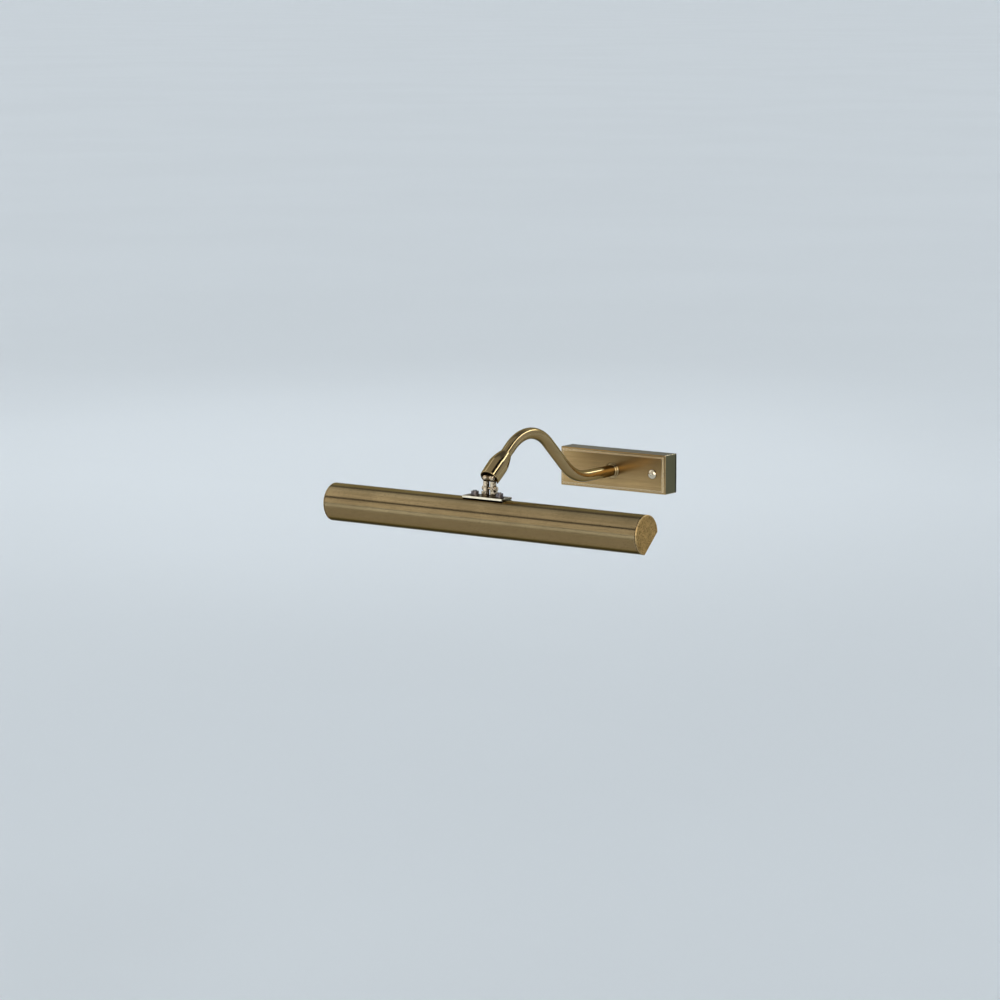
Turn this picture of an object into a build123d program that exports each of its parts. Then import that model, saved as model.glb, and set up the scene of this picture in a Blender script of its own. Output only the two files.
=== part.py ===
from build123d import *
import os
from math import atan2, cos, radians, sin, sqrt, tan

os.makedirs("parts", exist_ok=True)

# Picture light: a wall box, a bent arm and a D-shaped tubular shade that tilts on a knuckle.
# Millimetres. The wall face is Y = 0, the room is towards -Y, +Z is up and X runs along the
# shade. The origin is on the wall, behind the middle of the wall box.

# ---------- wall box ----------
box_length = 127.0
box_height = 40.0
box_depth = 23.0
box_wall = 1.0
box_edge_radius = 1.2
plate_gauge = 1.6
plate_margin = 0.5
plate_corner = 1.0
panel_margin = 2.3
panel_rise = 1.0
border_depth = box_depth - panel_rise
front_inside = border_depth - box_wall
wall_slot_spacing = 60.0
wall_slot_length = 8.0
wall_slot_width = 4.5
cable_x = -16.0
cable_hole_radius = 5.0
cable_bore_radius = 3.5
cover_screw_x = 48.6
cover_screw_radius = 2.35
cover_screw_head = (4.75, 2.8)
cover_screw_length = 13.0
pillar_flats = 7.6
pillar_tapping = 14.0
hook_height = 12.0
hook_reach = 11.0
nib_height = 8.0
nib_depth = 1.5
nib_setback = 4.0
nib_play = 0.4

# ---------- arm ----------
arm_radius = 5.75
arm_bore = 4.75
rise_start = 91.6
rise_angle = 41.0
apex_reach = 170.3
fall_slope = (-0.8, -0.6)
apex_to_sleeve = 52.1
lower_bend = 60.0
upper_bend = 51.0
flex_radius = 2.2
core_radius = 0.8

# ---------- knuckle ----------
sleeve_length = 33.6
sleeve_radius = 10.0
sleeve_mouth_radius = 9.7
sleeve_bore = 8.0
tube_seat = 12.0
pivot_depth = 32.4
pin_radius = 2.0
running_clearance = 0.05
tongue_half = 1.75
tongue_radius = 3.6
knob_x = 3.75
knob_radius = 4.1
cheek_inside = 1.85
cheek_outside = 6.3
leg_inside = 2.0
leg_outside = 6.2
leg_half_depth = 3.1
leg_corner = 1.2
clamp_height = 7.3
clamp_radius = 1.45
slot_half = 7.0
slot_depth = 6.5

# ---------- shade ----------
shade_length = 370.0
shade_radius = 19.0
shade_wall = 1.0
shade_y = -244.2
shade_z = -20.6
opening_angle = radians(-48.7)
opening_distance = 12.2
cap_flange = 1.1
cap_gap = 0.7
cap_chamfer = 0.6
cap_spigot = 5.0
saddle_length = 47.5
saddle_width = 17.5
saddle_thickness = 2.0
saddle_skirt = 1.3
saddle_skirt_reach = 13.5
saddle_y = -242.8
saddle_screw_x = 14.5
saddle_screw_y = -242.2
saddle_bottom = shade_z + shade_radius
saddle_top = saddle_bottom + saddle_thickness

# ---------- lamps ----------
lamp_setback = 3.5
lamp_radius = 12.5
lamp_start = 26.0
lamp_length = 115.0
lamp_cap_radius = 6.95
lamp_cap_length = 24.0
glass_wall = 0.8
holder_ear = 9.0
sheet = 1.2

SIDES = (("left", -1), ("right", 1))

# ---------- places worked out from the sizes above ----------
rise_point = (-rise_start, 0.0)
apex_point = (-apex_reach, (apex_reach - rise_start) * tan(radians(rise_angle)))


def along_fall(distance, drop=0.0):
    """(y, z) at a distance down the arm's last straight, drop below its centre line."""
    y = apex_point[0] + fall_slope[0] * distance - fall_slope[1] * drop
    z = apex_point[1] + fall_slope[1] * distance + fall_slope[0] * drop
    return (y, z)


def in_sleeve(depth, drop=0.0):
    """(y, z) at a depth from the sleeve's upper end."""
    return along_fall(apex_to_sleeve + depth, drop)


pivot_y, pivot_z = in_sleeve(pivot_depth)
sleeve_start = in_sleeve(0.0)
sleeve_plane = Plane(
    origin=(0, *sleeve_start), x_dir=(0, *fall_slope), z_dir=(1, 0, 0)
)
sleeve_axis = Axis((0, *sleeve_start), (0, *fall_slope))
lamp_y = shade_y - lamp_setback * cos(opening_angle)
lamp_z = shade_z - lamp_setback * sin(opening_angle)
lamp_plane = Plane(origin=(0, lamp_y, lamp_z), x_dir=(1, 0, 0), z_dir=(0, -1, 0))
lamp_axis = Axis((0, lamp_y, lamp_z), (1, 0, 0))
shade_half = shade_length / 2
tube_half = shade_half - cap_flange - cap_gap


def front_plane(depth):
    """Plane parallel to the wall, facing the room, at a depth out from the wall."""
    return Plane.XZ.offset(depth)


def shade_plane(x):
    """Section plane of the shade at x; its local x points squarely out of the open face."""
    return Plane(
        origin=(x, shade_y, shade_z),
        x_dir=(0, cos(opening_angle), sin(opening_angle)),
        z_dir=(1, 0, 0),
    )


def d_shape(radius, flat_distance):
    """Add a disc with its open side cut flat to the current sketch."""
    Circle(radius)
    with Locations((flat_distance + radius, 0)):
        Rectangle(2 * radius, 3 * radius, mode=Mode.SUBTRACT)


def profile_plane(seat):
    """Plane through a seat's normal: local x runs along the seat, local y along its normal."""
    return Plane(origin=seat.origin, x_dir=seat.x_dir, z_dir=-seat.y_dir)


def domed_screws(seats, head, shank, recess_width, recess_depth, crossed=True):
    """Screws with domed heads, one on each seat; head and shank are (radius, length)."""
    head_radius, head_height = head
    shank_radius, shank_length = shank
    with BuildPart() as screws:
        for seat in seats:
            with BuildSketch(profile_plane(seat)):
                with BuildLine():
                    shoulder = (head_radius, 0.35 * head_height)
                    crown = (0, head_height)
                    Polyline(
                        crown,
                        (0, -shank_length),
                        (shank_radius, -shank_length),
                        (shank_radius, 0),
                        (head_radius, 0),
                        shoulder,
                    )
                    ThreePointArc(shoulder, (0.72 * head_radius, 0.82 * head_height), crown)
                make_face()
            revolve(axis=Axis(seat.origin, seat.z_dir))
        with BuildSketch(*[seat.offset(head_height) for seat in seats]):
            Rectangle(1.1 * head_radius, recess_width, rotation=25)
            if crossed:
                Rectangle(recess_width, 1.1 * head_radius, rotation=25)
        extrude(amount=-recess_depth, mode=Mode.SUBTRACT)
    return screws


def hex_nuts(seats, across_flats, thickness, hole_radius):
    """Hexagon nuts with chamfered corners, one on each seat."""
    with BuildPart() as nuts:
        with BuildSketch(*seats):
            RegularPolygon(across_flats / 2, 6, major_radius=False)
        extrude(amount=thickness)
        with BuildSketch(*seats):
            Circle(across_flats / 2 + 0.12 * thickness)
        extrude(amount=thickness, taper=7, mode=Mode.INTERSECT)
        with BuildSketch(*seats):
            Circle(hole_radius)
        extrude(amount=thickness, mode=Mode.SUBTRACT)
    return nuts


# =============================================================================
# Wall box
# =============================================================================

# Back plate: wall screw slots, cable hole, and a hooked ear for the cover's left end.
with BuildPart() as back_plate:
    with BuildSketch(Plane.XZ):
        RectangleRounded(box_length - 2 * plate_margin, box_height - 2 * plate_margin, plate_corner)
        with GridLocations(wall_slot_spacing, 0, 2, 1):
            SlotOverall(wall_slot_length, wall_slot_width, mode=Mode.SUBTRACT)
        with Locations((cable_x, 0)):
            Circle(cable_hole_radius, mode=Mode.SUBTRACT)
    extrude(amount=plate_gauge)
    ear_x = -box_length / 2 + box_wall + nib_play
    with BuildSketch(front_plane(plate_gauge)):
        with Locations((ear_x + sheet / 2, 0)):
            Rectangle(sheet, hook_height)
    extrude(amount=hook_reach - plate_gauge)
    with BuildSketch(front_plane(hook_reach - nib_setback)):
        with Locations((ear_x - sheet / 2, 0)):
            Rectangle(sheet, nib_height)
    extrude(amount=nib_depth)
back_plate.part.label = "back_plate"
export_step(back_plate.part, "parts/back_plate.step")

# Box cover: folded sheet with a raised front panel, open towards the wall.
with BuildPart() as box_cover:
    with BuildSketch(front_plane(plate_gauge)):
        Rectangle(box_length, box_height)
    extrude(amount=border_depth - plate_gauge)
    fillet(box_cover.edges().filter_by(Axis.Y), box_wall / 2)
    fillet(box_cover.faces().sort_by(Axis.Y)[0].edges(), box_edge_radius)
    with BuildSketch(front_plane(plate_gauge)):
        Rectangle(box_length - 2 * box_wall, box_height - 2 * box_wall)
    extrude(amount=front_inside - plate_gauge, mode=Mode.SUBTRACT)
    with BuildSketch(front_plane(border_depth)):
        Rectangle(box_length - 2 * panel_margin, box_height - 2 * panel_margin)
    extrude(amount=panel_rise, taper=45)
    with BuildSketch(front_plane(box_depth)):
        Circle(arm_radius + 0.1)
        with Locations((cover_screw_x, 0)):
            Circle(cover_screw_radius + 0.3)
    extrude(amount=-(box_depth - front_inside), mode=Mode.SUBTRACT)
    hook_window = nib_height + 3 * nib_play
    with BuildSketch(front_plane(hook_reach - nib_setback - nib_play)):
        with Locations((-box_length / 2, 0)):
            Rectangle(4 * box_wall, hook_window)
    extrude(amount=nib_depth + 2 * nib_play, mode=Mode.SUBTRACT)
box_cover.part.label = "box_cover"
export_step(box_cover.part, "parts/box_cover.step")

# Screw pillar: riveted to the back plate, tapped for the cover screw.
with BuildPart() as screw_pillar:
    with BuildSketch(front_plane(plate_gauge)):
        with Locations((cover_screw_x, 0)):
            RegularPolygon(pillar_flats / 2, 6, major_radius=False)
    extrude(amount=front_inside - plate_gauge)
    with BuildSketch(front_plane(front_inside)):
        with Locations((cover_screw_x, 0)):
            Circle(cover_screw_radius + running_clearance)
    extrude(amount=-pillar_tapping, mode=Mode.SUBTRACT)
screw_pillar.part.label = "screw_pillar"
export_step(screw_pillar.part, "parts/screw_pillar.step")

# Cover screw: domed head with a cross recess.
cover_screw_seat = Plane(
    origin=(cover_screw_x, -box_depth, 0), x_dir=(1, 0, 0), z_dir=(0, -1, 0)
)
cover_screw = domed_screws(
    [cover_screw_seat], cover_screw_head, (cover_screw_radius, cover_screw_length), 1.2, 1.7
)
cover_screw.part.label = "cover_screw"
export_step(cover_screw.part, "parts/cover_screw.step")

# Cable grommet: lines the supply cable's hole and stays flush with the wall face.
grommet_lip = 1.8
grommet_rise = 1.6
with BuildPart() as cable_grommet:
    with BuildSketch(Plane.XZ):
        with Locations((cable_x, 0)):
            Circle(cable_hole_radius - 0.05)
    extrude(amount=plate_gauge)
    with BuildSketch(front_plane(plate_gauge)):
        with Locations((cable_x, 0)):
            Circle(cable_hole_radius + grommet_lip)
    extrude(amount=grommet_rise)
    fillet(cable_grommet.faces().sort_by(Axis.Y)[0].edges(), 0.7)
    with BuildSketch(Plane.XZ):
        with Locations((cable_x, 0)):
            Circle(cable_bore_radius)
    extrude(amount=plate_gauge + grommet_rise, mode=Mode.SUBTRACT)
cable_grommet.part.label = "cable_grommet"
export_step(cable_grommet.part, "parts/cable_grommet.step")

# Terminal block: three poles on a moulded base, with wire ports and screw wells.
terminal_x = -46.0
terminal_pitch = 8.0
terminal_base = 5.0
terminal_top = 12.0
terminal_poles = [(terminal_x, pole * terminal_pitch) for pole in (-1, 0, 1)]
terminal_width = 16.0
pole_size = (13.0, 6.4)
pole_corner = 1.0
well_offset = 3.4
well_radius = 1.7
well_depth = 5.0
port_radius = 1.5
terminal_wells = [(x + side * well_offset, z) for x, z in terminal_poles for side in (-1, 1)]
with BuildPart() as terminal_block:
    with BuildSketch(front_plane(plate_gauge)):
        with Locations((terminal_x, 0)):
            RectangleRounded(terminal_width, 3 * terminal_pitch, pole_corner)
    extrude(amount=terminal_base)
    with BuildSketch(front_plane(plate_gauge + terminal_base)):
        with Locations(*terminal_poles):
            RectangleRounded(*pole_size, pole_corner)
    extrude(amount=terminal_top - terminal_base)
    with BuildSketch(front_plane(plate_gauge + terminal_top)):
        with Locations(*terminal_wells):
            Circle(well_radius)
    extrude(amount=-well_depth, mode=Mode.SUBTRACT)
    with BuildSketch(Plane.YZ.offset(terminal_x - terminal_width)):
        with Locations(*[(-plate_gauge - terminal_base, z) for _, z in terminal_poles]):
            Circle(port_radius)
    extrude(amount=2 * terminal_width, mode=Mode.SUBTRACT)
terminal_block.part.label = "terminal_block"
export_step(terminal_block.part, "parts/terminal_block.step")

# Terminal screws: six slotted grub screws in the wells.
grub_radius = well_radius - 0.2
grub_length = 3.4
grub_top = plate_gauge + terminal_top - 1.2
with BuildPart() as terminal_screws:
    with BuildSketch(front_plane(grub_top - grub_length)):
        with Locations(*terminal_wells):
            Circle(grub_radius)
    extrude(amount=grub_length)
    with BuildSketch(front_plane(grub_top)):
        with Locations(*terminal_wells):
            Rectangle(3 * grub_radius, 0.5)
    extrude(amount=-0.8, mode=Mode.SUBTRACT)
terminal_screws.part.label = "terminal_screws"
export_step(terminal_screws.part, "parts/terminal_screws.step")

# Earth screw: pan head with its cup washer, standing on the back plate.
earth_x = 40.0
earth_z = -11.5
earth_washer = (4.4, 0.8)
earth_head = (3.4, 2.4)
with BuildPart() as earth_screw:
    with BuildSketch(front_plane(plate_gauge)):
        with Locations((earth_x, earth_z)):
            Circle(earth_washer[0])
    extrude(amount=earth_washer[1])
    with BuildSketch(front_plane(plate_gauge + earth_washer[1])):
        with Locations((earth_x, earth_z)):
            Circle(earth_head[0])
    extrude(amount=earth_head[1])
    fillet(earth_screw.faces().sort_by(Axis.Y)[0].edges(), 0.8)
    with BuildSketch(front_plane(plate_gauge + earth_washer[1] + earth_head[1])):
        with Locations((earth_x, earth_z)):
            Rectangle(3 * earth_head[0], 0.9)
    extrude(amount=-earth_head[1] / 2, mode=Mode.SUBTRACT)
earth_screw.part.label = "earth_screw"
export_step(earth_screw.part, "parts/earth_screw.step")

# =============================================================================
# Arm
# =============================================================================

# Arm collar: a flange with a smaller shoulder ring, bearing on the cover's front.
flange_radius = 8.2
shoulder_radius = 7.0
flange_face = -box_depth - 1.4
collar_face = -box_depth - 3.3
collar_bore = arm_radius + running_clearance
with BuildPart() as arm_collar:
    with BuildSketch(Plane.XY):
        with BuildLine():
            Polyline(
                (collar_bore, -box_depth),
                (flange_radius, -box_depth),
                (flange_radius, flange_face + 0.6),
                (flange_radius - 0.5, flange_face),
                (shoulder_radius, flange_face),
                (shoulder_radius, collar_face + 0.7),
                (shoulder_radius - 0.6, collar_face),
                (collar_bore, collar_face),
                close=True,
            )
        make_face()
    revolve(axis=Axis.Y)
arm_collar.part.label = "arm_collar"
export_step(arm_collar.part, "parts/arm_collar.step")

# Arm nipple: hollow threaded stem brazed into the tube's wall end.
stem_radius = 4.95
stem_bore = 3.4
stem_inside = 12.0
stem_in_tube = 14.0
with BuildPart() as arm_nipple:
    with BuildSketch(front_plane(stem_inside)):
        Circle(stem_radius)
    extrude(amount=front_inside - stem_inside)
    with BuildSketch(front_plane(front_inside)):
        Circle(arm_bore - 0.05)
    extrude(amount=box_depth + stem_in_tube - front_inside)
    with BuildSketch(front_plane(stem_inside)):
        Circle(stem_bore)
    extrude(amount=box_depth + stem_in_tube - stem_inside, mode=Mode.SUBTRACT)
arm_nipple.part.label = "arm_nipple"
export_step(arm_nipple.part, "parts/arm_nipple.step")

# Arm washer and lock nut: hold the nipple against the cover from inside.
washer_thickness = 1.0
washer_radius = 9.0
with BuildPart() as arm_washer:
    with BuildSketch(front_plane(front_inside)):
        Circle(washer_radius)
        Circle(stem_radius + 0.2, mode=Mode.SUBTRACT)
    extrude(amount=-washer_thickness)
arm_washer.part.label = "arm_washer"
export_step(arm_washer.part, "parts/arm_washer.step")

lock_nut_thickness = 4.0
lock_nut_depth = front_inside - washer_thickness - lock_nut_thickness
arm_lock_nut = hex_nuts(
    [front_plane(lock_nut_depth)], 14.0, lock_nut_thickness, stem_radius + running_clearance
)
arm_lock_nut.part.label = "arm_lock_nut"
export_step(arm_lock_nut.part, "parts/arm_lock_nut.step")

# Arm tube: straight out of the box, up, over a wide bend and down into the sleeve.
arm_end = in_sleeve(tube_seat - 0.3)
with BuildPart() as arm_tube:
    with BuildLine(Plane.YZ):
        FilletPolyline(
            (-front_inside, 0.0), rise_point, apex_point, arm_end, radius=[lower_bend, upper_bend]
        )
    with BuildSketch(front_plane(front_inside)):
        Circle(arm_radius)
        Circle(arm_bore, mode=Mode.SUBTRACT)
    sweep()
arm_tube.part.label = "arm_tube"
export_step(arm_tube.part, "parts/arm_tube.step")

# Arm flex: sheathed lead from the terminal block, through the nipple, to the sleeve.
flex_depth = 8.0
flex_start_x = terminal_x + 8.0
flex_turn = 7.0
flex_end = in_sleeve(tube_seat + 0.2)
with BuildPart() as arm_flex:
    with BuildLine():
        FilletPolyline(
            (flex_start_x, -flex_depth, terminal_pitch),
            (cable_x, -flex_depth, terminal_pitch),
            (0, -flex_depth, 0),
            (0, *rise_point),
            (0, *apex_point),
            (0, *flex_end),
            radius=[20.0, flex_turn, lower_bend, upper_bend],
        )
    with BuildSketch(Plane(origin=(flex_start_x, -flex_depth, terminal_pitch), z_dir=(1, 0, 0))):
        Circle(flex_radius)
    sweep()
arm_flex.part.label = "arm_flex"
export_step(arm_flex.part, "parts/arm_flex.step")

# =============================================================================
# Knuckle, fixed side
# =============================================================================

# Arm sleeve: flared ferrule on the tube's end, slotted underneath for the fork's legs.
neck = (0.0, 6.2)
neck_bulge = (6.4, 8.35)
shoulder = (14.8, sleeve_radius)
body_bulge = (24.0, sleeve_radius - 0.02)
lip_round = 0.6
lip_start = (sleeve_length - lip_round, sleeve_mouth_radius)
lip_middle = (sleeve_length - 0.15, sleeve_mouth_radius - 0.25)
lip_end = (sleeve_length, sleeve_mouth_radius - lip_round)
with BuildPart() as arm_sleeve:
    with BuildSketch(sleeve_plane):
        with BuildLine():
            ThreePointArc(neck, neck_bulge, shoulder)
            ThreePointArc(shoulder, body_bulge, lip_start)
            ThreePointArc(lip_start, lip_middle, lip_end)
            Polyline(
                lip_end,
                (sleeve_length, sleeve_bore),
                (tube_seat, sleeve_bore),
                (tube_seat, collar_bore),
                (0.0, collar_bore),
                neck,
            )
        make_face()
    revolve(axis=sleeve_axis)
    with BuildSketch(sleeve_plane):
        with Locations((sleeve_length - slot_depth + sleeve_radius, sleeve_radius)):
            Rectangle(2 * sleeve_radius, 2 * sleeve_radius)
    extrude(amount=slot_half, both=True, mode=Mode.SUBTRACT)
arm_sleeve.part.label = "arm_sleeve"
export_step(arm_sleeve.part, "parts/arm_sleeve.step")

# Knuckle eye: a plug in the sleeve with a tongue that ends in the pivot's eye.
plug_start = 17.0
plug_end = 22.0
core_drop = 5.6
with BuildPart() as knuckle_eye:
    with BuildSketch(sleeve_plane):
        with BuildLine():
            Polyline(
                (plug_start, 0.0),
                (plug_start, sleeve_bore - 0.05),
                (plug_end - 0.8, sleeve_bore - 0.05),
                (plug_end, sleeve_bore - 0.85),
                (plug_end, 0.0),
                close=True,
            )
        make_face()
    revolve(axis=sleeve_axis)
    with BuildSketch(sleeve_plane):
        with Locations(((plug_end + pivot_depth) / 2, 0)):
            Rectangle(pivot_depth - plug_end, 2 * tongue_radius)
        with Locations((pivot_depth, 0)):
            Circle(tongue_radius)
    extrude(amount=tongue_half, both=True)
    with BuildSketch(sleeve_plane):
        with Locations((pivot_depth, 0)):
            Circle(pin_radius + running_clearance)
    extrude(amount=tongue_half, both=True, mode=Mode.SUBTRACT)
    with BuildSketch(sleeve_plane):
        with Locations((plug_start, core_drop + 2.0)):
            Rectangle(2 * (plug_end - plug_start), 6.4)
    extrude(amount=2 * core_radius + 0.4, both=True, mode=Mode.SUBTRACT)
knuckle_eye.part.label = "knuckle_eye"
export_step(knuckle_eye.part, "parts/knuckle_eye.step")

# Arm cores: the lead's two cores, from the sheath's end to below the plug.
core_x = core_radius + 0.1
with BuildPart() as arm_cores:
    core_start = in_sleeve(tube_seat + 1.0, 0.4)
    core_turn = in_sleeve(plug_start - 0.2, core_drop)
    core_end = in_sleeve(plug_end + 2.0, core_drop)
    for core_side in (-core_x, core_x):
        with BuildLine(Plane.YZ.offset(core_side)) as core_route:
            FilletPolyline(core_start, core_turn, core_end, radius=[3.0])
        with BuildSketch(Plane(core_route.line @ 0, z_dir=core_route.line % 0)):
            Circle(core_radius)
        sweep()
arm_cores.part.label = "arm_cores"
export_step(arm_cores.part, "parts/arm_cores.step")

# =============================================================================
# Knuckle, tilting side
# =============================================================================

# Fork legs: oval legs with ball-shaped knobs at the pivot and square feet on the saddle plate.
foot_half = 3.3
foot_outside = 8.2
foot_height = 3.9
leg_shoulder = 3.4
foot_corner = 1.4
tenon_x = 4.4
tenon_radius = 1.5


def knob_height(x):
    """Radius of the ball-shaped knob's section at x."""
    return sqrt(knob_radius**2 - (x - knob_x) ** 2)


with BuildPart() as fork_leg_left:
    with BuildSketch(Plane.XY.offset(pivot_z)):
        with BuildLine():
            inner_rim = (-cheek_inside, pivot_y + knob_height(cheek_inside))
            outer_rim = (-cheek_outside, pivot_y + knob_height(cheek_outside))
            ThreePointArc(inner_rim, (-knob_x, pivot_y + knob_radius), outer_rim)
            Polyline(outer_rim, (-cheek_outside, pivot_y), (-cheek_inside, pivot_y), inner_rim)
        make_face()
    revolve(axis=Axis((0, pivot_y, pivot_z), (1, 0, 0)))
    with BuildSketch(Plane.XY.offset(saddle_top)):
        with Locations((-(leg_inside + leg_outside) / 2, pivot_y)):
            RectangleRounded(leg_outside - leg_inside, 2 * leg_half_depth, leg_corner)
    extrude(amount=pivot_z - leg_shoulder - saddle_top)
    with BuildSketch(Plane.XY.offset(saddle_top)):
        with Locations((-(leg_inside + foot_outside) / 2, pivot_y)):
            RectangleRounded(foot_outside - leg_inside, 2 * foot_half, foot_corner)
    extrude(amount=foot_height)
    with BuildSketch(Plane.XY.offset(saddle_bottom)):
        with Locations((-tenon_x, pivot_y)):
            Circle(tenon_radius)
    extrude(amount=saddle_thickness)
    with BuildSketch(Plane.YZ):
        with Locations((pivot_y, pivot_z)):
            Circle(pin_radius + running_clearance)
        with Locations((pivot_y, clamp_height)):
            Circle(clamp_radius + running_clearance)
    extrude(amount=-2 * foot_outside, mode=Mode.SUBTRACT)
fork_leg_left.part.label = "fork_leg_left"
export_step(fork_leg_left.part, "parts/fork_leg_left.step")

with BuildPart() as fork_leg_right:
    mirror(fork_leg_left.part, about=Plane.YZ)
fork_leg_right.part.label = "fork_leg_right"
export_step(fork_leg_right.part, "parts/fork_leg_right.step")

# Pivot screw and nut: clamp the knobs on the tongue; the pin turns in the tongue's eye.
pivot_head = (2.6, 0.9)
pivot_nut_flats = 4.8
left_pivot_seat = Plane(
    origin=(-cheek_outside, pivot_y, pivot_z), x_dir=(0, 1, 0), z_dir=(-1, 0, 0)
)
pivot_screw = domed_screws(
    [left_pivot_seat], pivot_head, (pin_radius, 2 * cheek_outside + 0.7), 0.7, 0.6, crossed=False
)
pivot_screw.part.label = "pivot_screw"
export_step(pivot_screw.part, "parts/pivot_screw.step")

right_pivot_seat = Plane(
    origin=(cheek_outside, pivot_y, pivot_z), x_dir=(0, 1, 0), z_dir=(1, 0, 0)
)
pivot_nut = hex_nuts(
    [right_pivot_seat], pivot_nut_flats, pivot_head[1], pin_radius + running_clearance
)
pivot_nut.part.label = "pivot_nut"
export_step(pivot_nut.part, "parts/pivot_nut.step")

# Clamp screw and nut: draw the legs together below the sleeve.
clamp_seat_x = leg_outside
clamp_head = (2.7, 2.3)
clamp_nut_size = (5.0, 2.2)
left_clamp_seat = Plane(
    origin=(-clamp_seat_x, pivot_y, clamp_height), x_dir=(0, 1, 0), z_dir=(-1, 0, 0)
)
clamp_screw = domed_screws(
    [left_clamp_seat], clamp_head, (clamp_radius, 2 * clamp_seat_x + 2.6), 0.8, 1.2, crossed=False
)
clamp_screw.part.label = "clamp_screw"
export_step(clamp_screw.part, "parts/clamp_screw.step")

right_clamp_seat = Plane(
    origin=(clamp_seat_x, pivot_y, clamp_height), x_dir=(0, 1, 0), z_dir=(1, 0, 0)
)
clamp_nut = hex_nuts([right_clamp_seat], *clamp_nut_size, clamp_radius + running_clearance)
clamp_nut.part.label = "clamp_nut"
export_step(clamp_nut.part, "parts/clamp_nut.step")

# Saddle plate: carries the fork on the shade; a thin skirt behind it follows the shade's curve,
# and both are notched for the leads.
lead_y = pivot_y + 2.6
lead_notch = 3.6
lead_notch_overrun = 4.2
lead_hole_radius = 2.8
saddle_corner = 1.0
saddle_chamfer = 0.35
saddle_hole_radius = 2.2
saddle_back = saddle_y + saddle_width / 2
saddle_screw_places = [(side * saddle_screw_x, saddle_screw_y) for _, side in SIDES]
tenon_places = [(side * tenon_x, pivot_y) for _, side in SIDES]
lead_hole_angle = atan2(sqrt(shade_radius**2 - (lead_y - shade_y) ** 2), lead_y - shade_y)
lead_hole_plane = Plane(
    origin=(
        0,
        shade_y + shade_radius * cos(lead_hole_angle),
        shade_z + shade_radius * sin(lead_hole_angle),
    ),
    x_dir=(1, 0, 0),
    z_dir=(0, cos(lead_hole_angle), sin(lead_hole_angle)),
)
grommet_flange_radius = 3.6
skirt_seat = shade_radius + running_clearance
skirt_start = saddle_screw_y + saddle_hole_radius - shade_y
with BuildPart() as saddle_plate:
    with BuildSketch(Plane.XY.offset(saddle_bottom)):
        with Locations((0, saddle_y)):
            RectangleRounded(saddle_length, saddle_width, saddle_corner)
    extrude(amount=saddle_thickness)
    chamfer(saddle_plate.faces().sort_by(Axis.Z)[-1].edges(), saddle_chamfer)
    with BuildSketch(Plane.YZ.offset(-saddle_length / 2)):
        with Locations((shade_y, shade_z)):
            Circle(skirt_seat + saddle_skirt)
            Circle(skirt_seat, mode=Mode.SUBTRACT)
        with Locations((shade_y + (skirt_start + saddle_skirt_reach) / 2, saddle_bottom)):
            Rectangle(saddle_skirt_reach - skirt_start, shade_radius, mode=Mode.INTERSECT)
    extrude(amount=saddle_length)
    with BuildSketch(Plane.XY.offset(saddle_top)):
        with Locations(*saddle_screw_places):
            Circle(saddle_hole_radius)
        with Locations(*tenon_places):
            Circle(tenon_radius + running_clearance)
        with Locations((0, saddle_back)):
            SlotOverall(
                2 * (saddle_back - lead_y) + lead_notch_overrun, lead_notch, rotation=90
            )
    extrude(amount=-2 * saddle_thickness, mode=Mode.SUBTRACT)
    with BuildSketch(lead_hole_plane.offset(-saddle_skirt)):
        Circle(grommet_flange_radius + 0.4)
    extrude(amount=2 * saddle_skirt + running_clearance, mode=Mode.SUBTRACT)
saddle_plate.part.label = "saddle_plate"
export_step(saddle_plate.part, "parts/saddle_plate.step")

# =============================================================================
# Shade
# =============================================================================

# Shade shell: thin tube with its lower back side cut away flat, holed for the saddle.
inner_radius = shade_radius - shade_wall
tenon_relief = 0.4
with BuildPart() as shade_shell:
    with BuildSketch(shade_plane(-tube_half)):
        d_shape(shade_radius, opening_distance)
        Circle(inner_radius, mode=Mode.SUBTRACT)
    extrude(amount=2 * tube_half)
    with BuildSketch(Plane.XY.offset(shade_z)):
        with Locations(*saddle_screw_places):
            Circle(saddle_hole_radius)
        with Locations(*tenon_places):
            Circle(tenon_radius + tenon_relief)
    extrude(amount=2 * shade_radius, mode=Mode.SUBTRACT)
    with BuildSketch(lead_hole_plane.offset(shade_wall)):
        Circle(lead_hole_radius)
    extrude(amount=-4 * shade_wall, mode=Mode.SUBTRACT)
shade_shell.part.label = "shade_shell"
export_step(shade_shell.part, "parts/shade_shell.step")

# End caps: a chamfered flange outside and a cupped spigot inside the shell, a shadow gap between.
spigot_inset = 1.2
spigot_wall = 1.0
for side_name, side in SIDES:
    with BuildPart() as end_cap:
        with BuildSketch(shade_plane(side * (tube_half - cap_spigot))):
            d_shape(inner_radius - 0.1, opening_distance - spigot_inset)
        extrude(amount=side * (cap_spigot + cap_gap))
        with BuildSketch(shade_plane(side * (tube_half - cap_spigot))):
            d_shape(inner_radius - 0.1 - spigot_wall, opening_distance - spigot_inset - spigot_wall)
        extrude(amount=side * (cap_spigot - spigot_wall), mode=Mode.SUBTRACT)
        with BuildSketch(shade_plane(side * (shade_half - cap_flange))):
            d_shape(shade_radius, opening_distance)
        extrude(amount=side * cap_flange)
        outer_face = end_cap.faces().sort_by(Axis.X)[-1 if side > 0 else 0]
        chamfer(outer_face.edges(), cap_chamfer)
    end_cap.part.label = f"end_cap_{side_name}"
    export_step(end_cap.part, f"parts/end_cap_{side_name}.step")

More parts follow.
